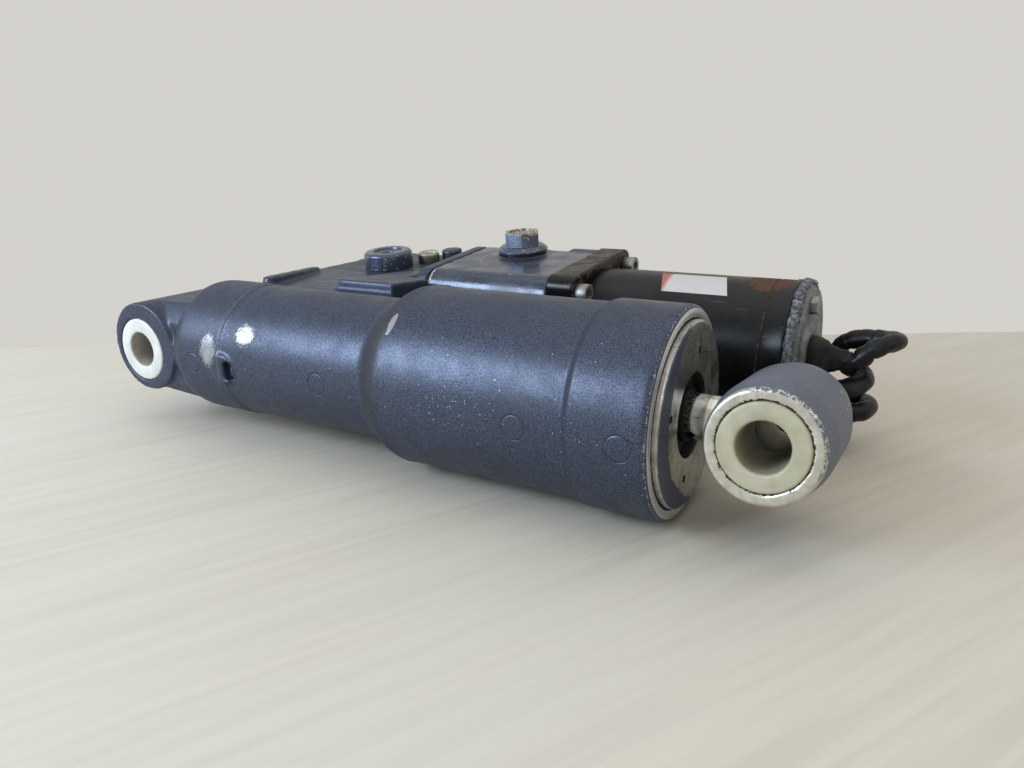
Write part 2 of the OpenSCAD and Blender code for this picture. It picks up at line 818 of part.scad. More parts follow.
cylinder_body();
lower_bushes();
end_cap();
end_cap_seal();
rod_seal();
rod_wiper();
trim_sleeve();
trim_piston();
trim_piston_seal();
sleeve_stop_ring();
free_piston();
free_piston_seal();
tilt_piston();
tilt_piston_seal();
shock_balls();
shock_springs();
piston_rod();
rod_nut();
rod_eye();
upper_bushes();
valve_cap();
valve_cap_seal();
release_valve();
release_valve_seal();
shuttle_spool();
check_plugs();
check_balls();
check_springs();
manifold_seal();
pump_housing();
pump_cover();
pump_screws();
suction_filter();
drive_gear();
driven_gear();
reservoir_housing();
filler_plug();
filler_seal();
motor_flange();
flange_seal();
flange_screws();
shaft_seal();
front_bearing();
motor_can();
magnets();
armature_shaft();
armature_core();
armature_windings();
commutator();
brushes();
brush_plate();
end_cover();
end_cover_bushing();
cover_sealant();
cover_bolts();
lead_grommet();
lead_sleeve();
lead_hank();
lead_tie();
lead_connector();
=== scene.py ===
"""Looks of the power trim and tilt ram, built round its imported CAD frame. Metres, in the CAD's own frame."""
import json
import math

import bmesh
import bpy
import numpy as np
from mathutils import Matrix, Vector, noise


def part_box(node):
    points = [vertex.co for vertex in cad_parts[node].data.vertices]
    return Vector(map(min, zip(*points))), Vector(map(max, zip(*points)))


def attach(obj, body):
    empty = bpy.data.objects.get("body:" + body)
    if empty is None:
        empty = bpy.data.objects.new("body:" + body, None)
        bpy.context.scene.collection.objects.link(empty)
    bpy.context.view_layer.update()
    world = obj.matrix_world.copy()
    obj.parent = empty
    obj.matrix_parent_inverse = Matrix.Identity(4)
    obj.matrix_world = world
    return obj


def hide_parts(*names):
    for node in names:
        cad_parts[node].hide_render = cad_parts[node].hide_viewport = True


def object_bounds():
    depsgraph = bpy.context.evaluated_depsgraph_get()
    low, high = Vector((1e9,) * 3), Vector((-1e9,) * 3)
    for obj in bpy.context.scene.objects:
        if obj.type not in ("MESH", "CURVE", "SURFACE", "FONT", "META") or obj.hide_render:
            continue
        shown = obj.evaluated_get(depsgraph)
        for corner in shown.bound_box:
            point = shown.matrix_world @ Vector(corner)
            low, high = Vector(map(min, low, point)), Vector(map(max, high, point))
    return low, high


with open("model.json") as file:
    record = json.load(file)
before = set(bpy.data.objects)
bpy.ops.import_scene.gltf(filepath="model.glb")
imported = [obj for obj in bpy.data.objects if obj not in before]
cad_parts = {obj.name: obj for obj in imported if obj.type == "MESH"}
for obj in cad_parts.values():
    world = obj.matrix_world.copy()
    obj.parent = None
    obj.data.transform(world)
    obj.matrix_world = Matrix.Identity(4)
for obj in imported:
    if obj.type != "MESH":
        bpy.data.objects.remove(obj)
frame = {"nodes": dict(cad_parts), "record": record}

CAD_BOX = [list(corner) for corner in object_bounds()]
MM = 0.001
BASE = "ram_and_pump"
SLOT_OF = {part["node"]: part["material_slot"] for part in frame["record"]["subparts"]}

# Distance of the motor's axis from the ram's, in metres
JOINTS = {joint["name"]: joint for joint in frame["record"]["behaviour"]["joints"]}
PUMP_Y = JOINTS["motor_spin"]["pos_m"][1]

# Ram, in millimetres along X and from its axis
EYE_DISTANCE = 321
EYE_TURN = math.radians(-6)
EYE_HALF = 28.9
CASTING_END = 286
SEAM_X = 63
SHOULDER_X = (151, 165)
BAND_X = (252.5, 256)
CORE_R, NARROW_R, WIDE_R, BAND_R = 34, 33.2, 40.3, 42

# Leads, in millimetres: the route that part.scad sweeps, then the hank's folds
LEAD_D = 10
LEAD = [
    [329, 90, 4], [334, 90, 4], [339, 91, 9], [345, 94, 12], [348, 101, 12], [345, 108, 11], [339, 111, 10],
    [332, 112, 9], [326, 112, 7], [323, 112, 2], [326, 111, -3], [331, 109, -5], [335, 105, -5],
    [337, 100, -6], [336, 94, -7], [332, 90, -9], [326, 88, -11], [322, 88, -14], [326, 88, -18],
    [332, 89, -20], [337, 92, -20], [340, 98, -20], [338, 105, -20], [332, 110, -21], [326, 113, -24],
    [323, 116, -30], [322, 121, -35], [319, 127, -37], [314, 134, -37], [307, 141, -37], [297, 147, -37],
    [286, 148, -37],
]
HANK_Y = 158
HANK_BEND = 10.5
HANK_LOW = -37
HANK_ENDS = (206, 270)
TAIL_END = (178, 158, -35.5)


def link(obj):
    bpy.context.scene.collection.objects.link(obj)
    return obj


def mesh_object(name, points, faces):
    mesh = bpy.data.meshes.new(name)
    mesh.from_pydata([Vector(p) * MM for p in points], [], faces)
    mesh.validate()
    return link(bpy.data.objects.new(name, mesh))


def smooth(obj, angle=32):
    obj.data.shade_smooth()
    obj.data.set_sharp_from_angle(angle=math.radians(angle))


def face_outward(obj):
    """Turns every face of a closed mesh outward."""
    mesh = bmesh.new()
    mesh.from_mesh(obj.data)
    bmesh.ops.recalc_face_normals(mesh, faces=mesh.faces)
    mesh.to_mesh(obj.data)
    mesh.free()


def applied(obj):
    """Turns the object's modifiers into its mesh."""
    graph = bpy.context.evaluated_depsgraph_get()
    mesh = bpy.data.meshes.new_from_object(obj.evaluated_get(graph))
    obj.modifiers.clear()
    obj.data = mesh
    return obj


def points_of(obj):
    values = np.empty(len(obj.data.vertices) * 3, np.float64)
    obj.data.vertices.foreach_get("co", values)
    return values.reshape(-1, 3) / MM


def put_points(obj, points):
    obj.data.vertices.foreach_set("co", (points * MM).ravel())
    obj.data.update()


# ---------------------------------------------------------------- camera, light and floor

def make_camera():
    data = bpy.data.cameras.new("camera")
    data.sensor_width = 36
    data.lens = 27.06
    camera = link(bpy.data.objects.new("camera", data))
    eye = Vector((0.3708, -0.2708, 0.1003))
    aim = Vector((0.1261, 0.1388, -0.0494))
    turn = (aim - eye).to_track_quat("-Z", "Y").to_matrix().to_4x4()
    camera.matrix_world = Matrix.Translation(eye) @ turn @ Matrix.Rotation(math.radians(-1.31), 4, "Z")
    bpy.context.scene.camera = camera


def area_light(name, place, aim, size, watts, colour):
    data = bpy.data.lights.new(name, "AREA")
    data.shape = "RECTANGLE"
    data.size, data.size_y = size
    data.energy = watts
    data.color = colour
    lamp = link(bpy.data.objects.new(name, data))
    lamp.location = place
    lamp.rotation_euler = (Vector(aim) - Vector(place)).to_track_quat("-Z", "Y").to_euler()


def make_light():
    middle = (0.2, 0.02, 0)
    area_light("window", (-0.42, -0.78, 0.5), middle, (0.7, 0.45), 10, (0.70, 0.83, 1.0))
    area_light("ceiling", (0.3, 0.1, 1.3), middle, (1.6, 1.6), 3, (1.0, 0.985, 0.96))
    area_light("side", (1.1, -0.3, 0.5), middle, (0.6, 0.6), 0.8, (1.0, 0.97, 0.93))
    world = bpy.data.worlds.new("studio")
    world.use_nodes = True
    world.node_tree.nodes["Background"].inputs["Color"].default_value = (0.86, 0.84, 0.8, 1)
    world.node_tree.nodes["Background"].inputs["Strength"].default_value = 0.66
    bpy.context.scene.world = world
    bpy.context.scene.view_settings.view_transform = "Standard"
    bpy.context.scene.view_settings.look = "Medium High Contrast"


# ---------------------------------------------------------------- materials

class Surface:
    """A Principled material whose inputs come from the place on the object, in millimetres."""

    def __init__(self, name, colour=(0.5, 0.5, 0.5), rough=0.5, metallic=0.0, **fixed):
        self.material = bpy.data.materials.new(name)
        self.material.use_nodes = True
        self.nodes = self.material.node_tree.nodes
        self.links = self.material.node_tree.links
        self.shader = self.nodes["Principled BSDF"]
        self.shader.inputs["Base Color"].default_value = (*colour, 1)
        self.shader.inputs["Roughness"].default_value = rough
        self.shader.inputs["Metallic"].default_value = metallic
        for key, value in fixed.items():
            self.shader.inputs[key.replace("_", " ")].default_value = value
        scaled = self.nodes.new("ShaderNodeVectorMath")
        scaled.operation = "MULTIPLY"
        scaled.inputs[1].default_value = (1 / MM, 1 / MM, 1 / MM)
        self.links.new(self.nodes.new("ShaderNodeTexCoord").outputs["Object"], scaled.inputs[0])
        self.place = scaled.outputs[0]
        split = self.nodes.new("ShaderNodeSeparateXYZ")
        self.links.new(self.place, split.inputs[0])
        self.x, self.y, self.z = split.outputs
        self.normal = None

    def plug(self, socket, value):
        if isinstance(value, bpy.types.NodeSocket):
            self.links.new(value, socket)
        elif isinstance(value, tuple) and len(value) == 3 and socket.type == "RGBA":
            socket.default_value = (*value, 1)
        else:
            socket.default_value = value

    def math(self, operation, a, b=0.0, c=0.0):
        node = self.nodes.new("ShaderNodeMath")
        node.operation = operation
        for socket, value in zip(node.inputs, (a, b, c)):
            self.plug(socket, value)
        return node.outputs[0]

    def total(self, *values):
        result = values[0]
        for value in values[1:]:
            result = self.math("ADD", result, value)
        return result

    def ramp(self, value, low, high, start=0.0, end=1.0):
        node = self.nodes.new("ShaderNodeMapRange")
        node.interpolation_type = "SMOOTHSTEP"
        for socket, given in zip(node.inputs, (value, low, high, start, end)):
            self.plug(socket, given)
        return node.outputs[0]

    def stretched(self, stretch):
        node = self.nodes.new("ShaderNodeVectorMath")
        node.operation = "MULTIPLY"
        self.plug(node.inputs[0], self.place)
        node.inputs[1].default_value = stretch
        return node.outputs[0]

    def noise(self, size, detail=3.0, roughness=0.55, stretch=None):
        node = self.nodes.new("ShaderNodeTexNoise")
        self.plug(node.inputs["Vector"], self.stretched(stretch) if stretch else self.place)
        node.inputs["Scale"].default_value = 1 / size
        node.inputs["Detail"].default_value = detail
        node.inputs["Roughness"].default_value = roughness
        return node.outputs[0]

    def dots(self, spacing, radius, share):
        """Round specks at random places, radius in spacings, in that share of the cells."""
        node = self.nodes.new("ShaderNodeTexVoronoi")
        self.plug(node.inputs["Vector"], self.place)
        node.inputs["Scale"].default_value = 1 / spacing
        pick = self.nodes.new("ShaderNodeSeparateColor")
        self.plug(pick.inputs[0], node.outputs["Color"])
        chosen = self.math("LESS_THAN", pick.outputs[0], share)
        return self.math("MULTIPLY", chosen, self.ramp(node.outputs["Distance"], radius, radius * 0.5))

    def near(self, centre, reach):
        """1 at the centre, falling to 0 at reach, which may differ along X, Y and Z."""
        node = self.nodes.new("ShaderNodeVectorMath")
        node.operation = "SUBTRACT"
        self.plug(node.inputs[0], self.place)
        node.inputs[1].default_value = centre
        shape = self.nodes.new("ShaderNodeVectorMath")
        shape.operation = "DIVIDE"
        self.plug(shape.inputs[0], node.outputs[0])
        shape.inputs[1].default_value = reach
        length = self.nodes.new("ShaderNodeVectorMath")
        length.operation = "LENGTH"
        self.plug(length.inputs[0], shape.outputs[0])
        return self.math("SUBTRACT", 1.0, length.outputs["Value"])

    def patch(self, centre, reach, grain, ragged=1.2):
        """A ragged patch: solid at its centre and broken up by the grain towards its edge."""
        fill = self.total(self.near(centre, reach), self.math("MULTIPLY", grain, ragged))
        return self.ramp(fill, 0.78, 0.86)

    def within(self, value, low, high, edge=0.5):
        """1 between low and high, with soft edges."""
        above = self.ramp(value, low - edge, low + edge)
        below = self.ramp(value, high + edge, high - edge)
        return self.math("MULTIPLY", above, below)

    def far_from(self, a, b):
        return self.math("SQRT", self.math("ADD", self.math("MULTIPLY", a, a), self.math("MULTIPLY", b, b)))

    def leaned(self, turn):
        """Distances along and across an axis that runs along Y and is turned about X."""
        c, s = math.cos(turn), math.sin(turn)
        along = self.math("ADD", self.math("MULTIPLY", self.y, c), self.math("MULTIPLY", self.z, s))
        across = self.math("SUBTRACT", self.math("MULTIPLY", self.z, c), self.math("MULTIPLY", self.y, s))
        return along, across

    def mix(self, factor, a, b):
        node = self.nodes.new("ShaderNodeMix")
        node.data_type = "RGBA"
        self.plug(node.inputs[0], factor)
        self.plug(node.inputs[6], a)
        self.plug(node.inputs[7], b)
        return node.outputs[2]

    def blend(self, factor, a, b):
        node = self.nodes.new("ShaderNodeMix")
        self.plug(node.inputs[0], factor)
        self.plug(node.inputs[2], a)
        self.plug(node.inputs[3], b)
        return node.outputs[0]

    def most(self, *values):
        result = values[0]
        for value in values[1:]:
            result = self.math("MAXIMUM", result, value)
        return result

    def bump(self, height, depth, strength=1.0):
        """Raises the surface by depth millimetres where the height is 1."""
        node = self.nodes.new("ShaderNodeBump")
        node.inputs["Strength"].default_value = strength
        node.inputs["Distance"].default_value = depth * MM
        self.plug(node.inputs["Height"], height)
        if self.normal is not None:
            self.plug(node.inputs["Normal"], self.normal)
        self.normal = node.outputs[0]

    def done(self, colour=None, rough=None, metallic=None):
        for name, value in (("Base Color", colour), ("Roughness", rough), ("Metallic", metallic)):
            if value is not None:
                self.plug(self.shader.inputs[name], value)
        if self.normal is not None:
            self.plug(self.shader.inputs["Normal"], self.normal)
        return self.material


def ram_paint():
    """Metallic blue-grey paint over cast aluminium, chipped and speckled, with the casting's pin marks."""
    s = Surface("ram_paint_look", metallic=0.45, Specular_IOR_Level=0.5)
    flake = s.noise(0.55, detail=2, roughness=0.7)
    cloud = s.noise(26, detail=4)
    grain = s.noise(1.5, detail=4, roughness=0.75)
    radius = s.far_from(s.y, s.z)
    on_ram = s.ramp(radius, 46, 44)
    paint = s.mix(s.ramp(flake, 0.36, 0.66), (0.034, 0.042, 0.062), (0.100, 0.120, 0.178))
    paint = s.mix(s.ramp(cloud, 0.35, 0.7, 0, 0.35), paint, (0.058, 0.066, 0.085))

    # Dull, dirty paint on the shoulder's slope, and darker, duller paint on the band's slope
    ragged_x = s.math("ADD", s.x, s.math("MULTIPLY", grain, 5))
    scuffed = s.math("MULTIPLY", on_ram, s.within(ragged_x, 156, 168.5, 1.5))
    band_slope = s.math("MULTIPLY", on_ram, s.within(s.x, 252.8, 255.8, 0.6))
    paint = s.mix(s.math("MULTIPLY", scuffed, 0.72), paint, (0.05, 0.05, 0.052))
    paint = s.mix(s.math("MULTIPLY", band_slope, 0.6), paint, (0.04, 0.046, 0.06))
    seam = s.math("MULTIPLY", on_ram, s.within(s.x, 62.5, 63.3, 0.3))
    paint = s.mix(s.math("MULTIPLY", seam, 0.35), paint, (0.22, 0.22, 0.22))

    # Chips down to bare metal, powdery beside the seam, and at the shoulder's and the open end's rims
    chips = s.most(
        s.patch((55.5, -33.4, 4), (3.5, 8, 5), grain, 0.9),
        s.patch((168, -27, 29), (2.6, 9, 12), grain, 0.7),
        s.patch((151.6, -18.6, 30.9), (2.4, 3, 3), grain, 0.75),
    )
    rim_x = s.total(s.x, s.math("MULTIPLY", grain, 5.5))
    rim = s.math("MULTIPLY", s.ramp(rim_x, 287.7, 288.3), s.ramp(radius, 41.0, 41.4))
    tube_field = s.ramp(s.near((203, -40, 3), (32, 30, 13)), 0.1, 0.5)
    band_field = s.ramp(s.near((254, -41, -2), (14, 30, 24)), 0.2, 0.6)
    tube_specks = s.math("MULTIPLY", s.dots(1.4, 0.26, 0.36), tube_field)
    band_specks = s.math("MULTIPLY", s.dots(1.6, 0.24, 0.3), band_field)
    stray_specks = s.math("MULTIPLY", s.dots(2.6, 0.16, 0.1), s.ramp(s.y, -20, -34))
    powder = s.most(
        s.ramp(s.near((55.5, -33, 7), (9, 10, 14)), 0.0, 0.75),
        s.ramp(s.near((79, -29, 15.5), (11, 10, 9)), 0.0, 0.75),
    )
    powder = s.total(s.math("MULTIPLY", powder, 0.36), s.noise(0.9, detail=4, roughness=0.8))
    powder = s.ramp(powder, 0.66, 0.78, 0, 0.8)
    chips = s.most(chips, powder, rim, tube_specks, band_specks, s.math("MULTIPLY", stray_specks, 0.8))
    bare = s.mix(s.noise(4), (0.30, 0.31, 0.34), (0.50, 0.51, 0.54))
    colour = s.mix(chips, paint, bare)

    # Turned face at the open end
    at_end = s.ramp(s.x, CASTING_END - 0.5, CASTING_END - 0.2)
    turned = s.math("MULTIPLY", at_end, s.ramp(radius, 41.2, 40.8))
    colour = s.mix(turned, colour, (0.66, 0.66, 0.65))

    rough = s.blend(s.ramp(s.noise(9, detail=5), 0.3, 0.75), 0.36, 0.48)
    rough = s.blend(s.most(s.math("MULTIPLY", scuffed, 0.8), band_slope), rough, 0.62)
    rough = s.blend(s.math("MAXIMUM", chips, turned), rough, 0.34)
    metallic = s.blend(s.math("MAXIMUM", chips, turned), 0.45, 0.85)

    marks = None
    for mark_x in (43.8, 126.7, 232.8, 275.5):
        distance = s.far_from(s.math("SUBTRACT", s.x, mark_x), s.math("ADD", s.z, 1.2))
        ring = s.within(distance, 4.7, 5.3, 0.35)
        marks = ring if marks is None else s.math("MAXIMUM", marks, ring)
    marks = s.math("MULTIPLY", marks, s.math("MULTIPLY", s.ramp(s.y, -20, -24), on_ram))
    s.bump(flake, 0.06, 0.55)
    s.bump(s.noise(3.2, detail=3), 0.10, 0.5)
    s.bump(marks, -0.28)
    s.bump(chips, -0.10)
    s.bump(s.math("MULTIPLY", scuffed, grain), 0.35, 0.8)
    return s.done(colour, rough, metallic)


def block_paint():
    """Glossier dark blue-grey paint, oily in places, with one gouge."""
    s = Surface("block_paint_look", metallic=0.35, Coat_Weight=0.35, Coat_Roughness=0.14)
    flake = s.noise(0.6, detail=2)
    cloud = s.noise(14, detail=5)
    colour = s.mix(s.ramp(flake, 0.38, 0.64), (0.035, 0.043, 0.062), (0.088, 0.108, 0.155))
    colour = s.mix(s.ramp(cloud, 0.45, 0.75, 0, 0.6), colour, (0.09, 0.095, 0.10))
    chips = s.most(s.dots(4.5, 0.14, 0.2), s.patch((118.5, 67, 33), (3, 8, 8), s.noise(1.6, detail=4), 0.9))
    colour = s.mix(chips, colour, (0.55, 0.54, 0.50))
    rough = s.blend(s.ramp(cloud, 0.4, 0.66), 0.24, 0.5)
    s.bump(flake, 0.05, 0.5)
    s.bump(s.noise(5, detail=4), 0.35, 0.6)
    return s.done(colour, rough, s.blend(chips, 0.35, 0.8))


def worn_plug_paint():
    """Blue-grey paint over zinc plate, rubbed through to yellow at the corners."""
    s = Surface("plug_paint_look", metallic=0.4, Coat_Weight=0.4, Coat_Roughness=0.15)
    grain = s.noise(1.6, detail=5, roughness=0.7)
    high = s.ramp(s.z, 48, 52)
    worn = s.ramp(s.total(grain, s.math("MULTIPLY", high, 0.1)), 0.585, 0.63)
    rusty = s.ramp(s.noise(2.6, detail=4), 0.5, 0.6)
    colour = s.mix(s.noise(0.6), (0.045, 0.058, 0.095), (0.10, 0.13, 0.20))
    under = s.mix(rusty, (0.52, 0.46, 0.30), (0.40, 0.22, 0.07))
    s.bump(worn, -0.08)
    s.bump(s.noise(2.5), 0.15, 0.5)
    return s.done(s.mix(worn, colour, under), s.blend(worn, 0.3, 0.5))


def eye_paint():
    """Grey-violet paint, with a turned face and chips round it and along the far edge."""
    s = Surface("eye_paint_look", metallic=0.25, Specular_IOR_Level=0.5)
    flake = s.noise(0.6, detail=2)
    grain = s.noise(1.4, detail=4, roughness=0.7)
    paint = s.mix(s.ramp(flake, 0.35, 0.68), (0.105, 0.120, 0.160), (0.165, 0.185, 0.240))
    paint = s.mix(s.ramp(s.noise(12, detail=4), 0.45, 0.8, 0, 0.5), paint, (0.15, 0.16, 0.19))
    along, across = s.leaned(EYE_TURN)
    outward = s.math("ABSOLUTE", along)
    from_eye = s.math("SUBTRACT", s.x, EYE_DISTANCE)
    radius = s.far_from(from_eye, across)
    face = s.ramp(outward, EYE_HALF - 1.6, EYE_HALF - 1.2)
    kept = s.math("MULTIPLY", s.ramp(grain, 0.47, 0.53), s.ramp(s.total(across, from_eye), 6, 16))
    kept = s.math("MULTIPLY", kept, s.ramp(radius, 18.6, 19.4))
    far_edge = s.ramp(s.near((339, 18, 8), (6, 14, 12)), 0, 0.5)
    spots = s.math("MULTIPLY", s.ramp(s.noise(1.2, detail=3), 0.62, 0.65), far_edge)
    bare = s.most(s.math("MULTIPLY", face, s.math("SUBTRACT", 1.0, kept)), spots)
    metal = s.mix(s.ramp(s.noise(3, detail=4), 0.35, 0.7), (0.52, 0.51, 0.45), (0.66, 0.65, 0.58))
    at_bush = s.math("MULTIPLY", s.ramp(radius, 17.2, 16.0), 0.3)
    stain = s.ramp(s.total(grain, at_bush, s.ramp(across, -4, 10, -0.12, 0)), 0.66, 0.74)
    metal = s.mix(stain, metal, (0.07, 0.035, 0.02))
    s.bump(flake, 0.05, 0.5)
    s.bump(s.noise(3.5), 0.12, 0.5)
    s.bump(bare, -0.1)
    return s.done(s.mix(bare, paint, metal), s.blend(bare, 0.5, 0.32), s.blend(bare, 0.25, 0.85))


def turned_cap():
    """Turned aluminium that keeps blue-grey paint down its near side and at the foot of its rim."""
    s = Surface("end_cap_look")
    grain = s.noise(2.2, detail=5, roughness=0.75)
    radius = s.far_from(s.y, s.z)
    side = s.total(s.ramp(s.y, 8, -32, -6, 8), s.ramp(s.z, -14, -28, 0, 4))
    painted = s.ramp(s.total(radius, side, s.math("MULTIPLY", grain, 7)), 36.3, 36.9)
    painted = s.math("MULTIPLY", painted, s.ramp(s.total(radius, s.math("MULTIPLY", grain, 0.8)), 36.5, 36.2))
    rings = s.noise(0.35, detail=1, stretch=(0.1, 0.1, 0.1))
    turning = s.nodes.new("ShaderNodeTexNoise")
    turning.noise_dimensions = "1D"
    s.plug(turning.inputs["W"], radius)
    turning.inputs["Scale"].default_value = 3.2
    smear = s.ramp(s.noise(7, detail=5), 0.4, 0.7)
    metal = s.mix(smear, (0.50, 0.50, 0.48), (0.34, 0.335, 0.31))
    metal = s.mix(s.ramp(s.noise(1.1, detail=3), 0.62, 0.7), metal, (0.16, 0.15, 0.14))
    colour = s.mix(painted, metal, s.mix(s.noise(0.6), (0.05, 0.06, 0.085), (0.11, 0.13, 0.17)))
    s.bump(turning.outputs[0], 0.03, 0.6)
    s.bump(painted, 0.1)
    s.bump(rings, 0.02, 0.3)
    return s.done(colour, s.blend(painted, s.blend(smear, 0.26, 0.42), 0.48), s.blend(painted, 0.95, 0.3))


def can_paint():
    """Gloss black paint over rolled steel, with rust at the top of its end and down the seam."""
    s = Surface("can_paint_look", Specular_IOR_Level=0.3)
    grain = s.noise(2.4, detail=5, roughness=0.72)
    # mask for painted light: the can is painted lighter towards its top
    top = s.ramp(s.z, 18, 34)
    rust = s.patch((293, 100, 37), (15, 22, 10), grain, 1.0)
    seam_line = s.math("MULTIPLY", s.within(s.total(s.x, grain), 295.6, 296.3, 0.4), s.ramp(grain, 0.46, 0.56))
    rust = s.math("MAXIMUM", s.math("MULTIPLY", rust, 0.85), seam_line)
    colour = s.mix(s.ramp(s.noise(18, detail=4), 0.4, 0.7), (0.006, 0.0065, 0.008), (0.015, 0.016, 0.018))
    # Painted light: the top of the can is lightened with a warm grey, as if lit from above
    colour = s.mix(s.math("MULTIPLY", top, 0.25), colour, (0.05, 0.048, 0.045))
    colour = s.mix(rust, colour, s.mix(grain, (0.06, 0.03, 0.018), (0.15, 0.085, 0.06)))
    scratch = s.ramp(s.noise(1.2, detail=2, stretch=(0.12, 1.6, 1.6)), 0.70, 0.74)
    colour = s.mix(s.math("MULTIPLY", scratch, 0.5), colour, (0.16, 0.16, 0.16))
    s.bump(rust, 0.12)
    s.bump(s.noise(6, detail=4), 0.18, 0.5)
    return s.done(colour, s.blend(rust, s.blend(grain, 0.22, 0.42), 0.8))


def flange_paint():
    s = Surface("flange_paint_look", Specular_IOR_Level=0.35)
    grain = s.noise(2.0, detail=5, roughness=0.7)
    dust = s.math("MULTIPLY", s.ramp(s.z, 34, 40), s.ramp(s.noise(6, detail=4), 0.42, 0.65))
    colour = s.mix(dust, (0.010, 0.010, 0.012), (0.055, 0.053, 0.048))
    rust = s.ramp(s.total(s.noise(5, detail=4), s.ramp(s.x, 204, 207, 0, 0.08)), 0.62, 0.7)
    colour = s.mix(rust, colour, (0.11, 0.06, 0.035))
    s.bump(grain, 0.12, 0.4)
    return s.done(colour, s.blend(s.math("MAXIMUM", dust, rust), 0.25, 0.6))


def rough_metal(name, light, dark, rough, grain_size=2.0, depth=0.1, metallic=0.9):
    """Cast, plated or machined metal with darker dull areas."""
    s = Surface(name, metallic=metallic)
    grain = s.noise(grain_size, detail=5, roughness=0.68)
    cloud = s.noise(grain_size * 6, detail=4)
    colour = s.mix(s.ramp(cloud, 0.4, 0.7), light, dark)
    colour = s.mix(s.ramp(grain, 0.6, 0.72, 0, 0.7), colour, tuple(channel * 0.45 for channel in dark))
    s.bump(grain, depth, 0.6)
    return s.done(colour, s.blend(grain, rough - 0.1, rough + 0.15))


def drawn_metal(name, colour, rough, axis, metallic=0.95):
    """Metal with fine drawing or grinding lines across the given axis."""
    s = Surface(name, metallic=metallic)
    stretch = tuple(0.15 if index != axis else 2.5 for index in range(3))
    lines = s.noise(0.5, detail=2, stretch=stretch)
    cloud = s.noise(8, detail=3)
    shade = s.mix(s.ramp(cloud, 0.35, 0.75), colour, tuple(channel * 0.72 for channel in colour))
    s.bump(lines, 0.012, 0.6)
    return s.done(shade, s.blend(lines, rough - 0.05, rough + 0.08))


def chrome():
    """Hard chrome with narrow straw bands near the eye, dirty where it rests at the wiper."""
    s = Surface("chrome_look", metallic=1.0)
    band = s.nodes.new("ShaderNodeTexNoise")
    band.noise_dimensions = "1D"
    s.plug(band.inputs["W"], s.x)
    band.inputs["Scale"].default_value = 0.7
    straw = s.math("MULTIPLY", s.ramp(band.outputs[0], 0.45, 0.6), s.ramp(s.x, 293.5, 295, 0.1, 0.8))
    colour = s.mix(straw, (0.66, 0.70, 0.69), (0.50, 0.44, 0.30))
    at_wiper = s.math("MULTIPLY", s.within(s.x, 287.5, 290, 0.8), 0.25)
    dirt = s.ramp(s.total(s.noise(1.6, detail=4), at_wiper), 0.66, 0.8)
    colour = s.mix(dirt, colour, (0.05, 0.045, 0.04))
    lines = s.noise(0.4, detail=2, stretch=(2.5, 0.1, 0.1))
    s.bump(lines, 0.01, 0.5)
    return s.done(colour, s.blend(dirt, s.blend(lines, 0.08, 0.2), 0.6))


def nylon(name, light, dark, centre_x, turn, stain_share):
    """Moulded nylon, yellowed in clouds, with painted shade in the bore and grubby round its rim."""
    s = Surface(name, rough=0.42, Subsurface_Weight=0.12, Subsurface_Scale=0.002)
    s.shader.inputs["Subsurface Radius"].default_value = (1.0, 0.8, 0.5)
    radius = s.far_from(s.math("SUBTRACT", s.x, centre_x), s.leaned(turn)[1])
    grain = s.noise(1.8, detail=5, roughness=0.7)
    colour = s.mix(s.ramp(s.noise(9, detail=4), 0.35, 0.7), light, dark)
    # Painted shade: the bore is painted a darker cream, broken up by the grain
    bore = s.ramp(radius, 9.6, 9.1)
    colour = s.mix(s.math("MULTIPLY", bore, s.ramp(grain, 0.3, 0.7, 0.5, 0.8)), colour, (0.27, 0.25, 0.19))
    brown = s.ramp(s.total(grain, s.math("MULTIPLY", s.within(radius, 8.8, 9.7, 0.3), stain_share)), 0.80, 0.86)
    colour = s.mix(brown, colour, (0.10, 0.045, 0.02))
    s.bump(grain, 0.04, 0.5)
    return s.done(colour, s.blend(grain, 0.34, 0.55))


def plain(name, light, dark, rough, size=2.0, depth=0.05, metallic=0.0, **fixed):
    """Moulded, pressed or fired stuff: two close colours, uneven roughness and a fine grain."""
    s = Surface(name, metallic=metallic, **fixed)
    grain = s.noise(size, detail=4, roughness=0.62)
    cloud = s.noise(size * 5, detail=3)
    s.bump(grain, depth, 0.6)
    return s.done(s.mix(s.ramp(cloud, 0.35, 0.7), light, dark), s.blend(grain, rough - 0.08, rough + 0.12))


def sealant():
    """Grey sealant smeared with silver paint and dark dirt."""
    s = Surface("sealant_look", metallic=0.1)
    grain = s.noise(1.7, detail=5, roughness=0.75)
    colour = s.mix(s.ramp(grain, 0.38, 0.62), (0.035, 0.036, 0.04), (0.19, 0.20, 0.22))
    colour = s.mix(s.ramp(s.noise(4, detail=4), 0.56, 0.66), colour, (0.32, 0.33, 0.34))
    s.bump(grain, 0.5, 0.8)
    return s.done(colour, s.blend(grain, 0.45, 0.75))


def sleeve_vinyl():
    """Soft black sleeve with a waxy gloss, dusty in patches."""
    s = Surface("lead_sleeve_look", Specular_IOR_Level=0.4)
    grain = s.noise(2.2, detail=4)
    dust = s.ramp(s.noise(7, detail=4), 0.5, 0.72, 0, 0.5)
    colour = s.mix(dust, (0.006, 0.0065, 0.009), (0.028, 0.030, 0.036))
    s.bump(grain, 0.22, 0.6)
    s.bump(s.noise(0.8, detail=2), 0.04, 0.5)
    return s.done(colour, s.blend(grain, 0.26, 0.5))


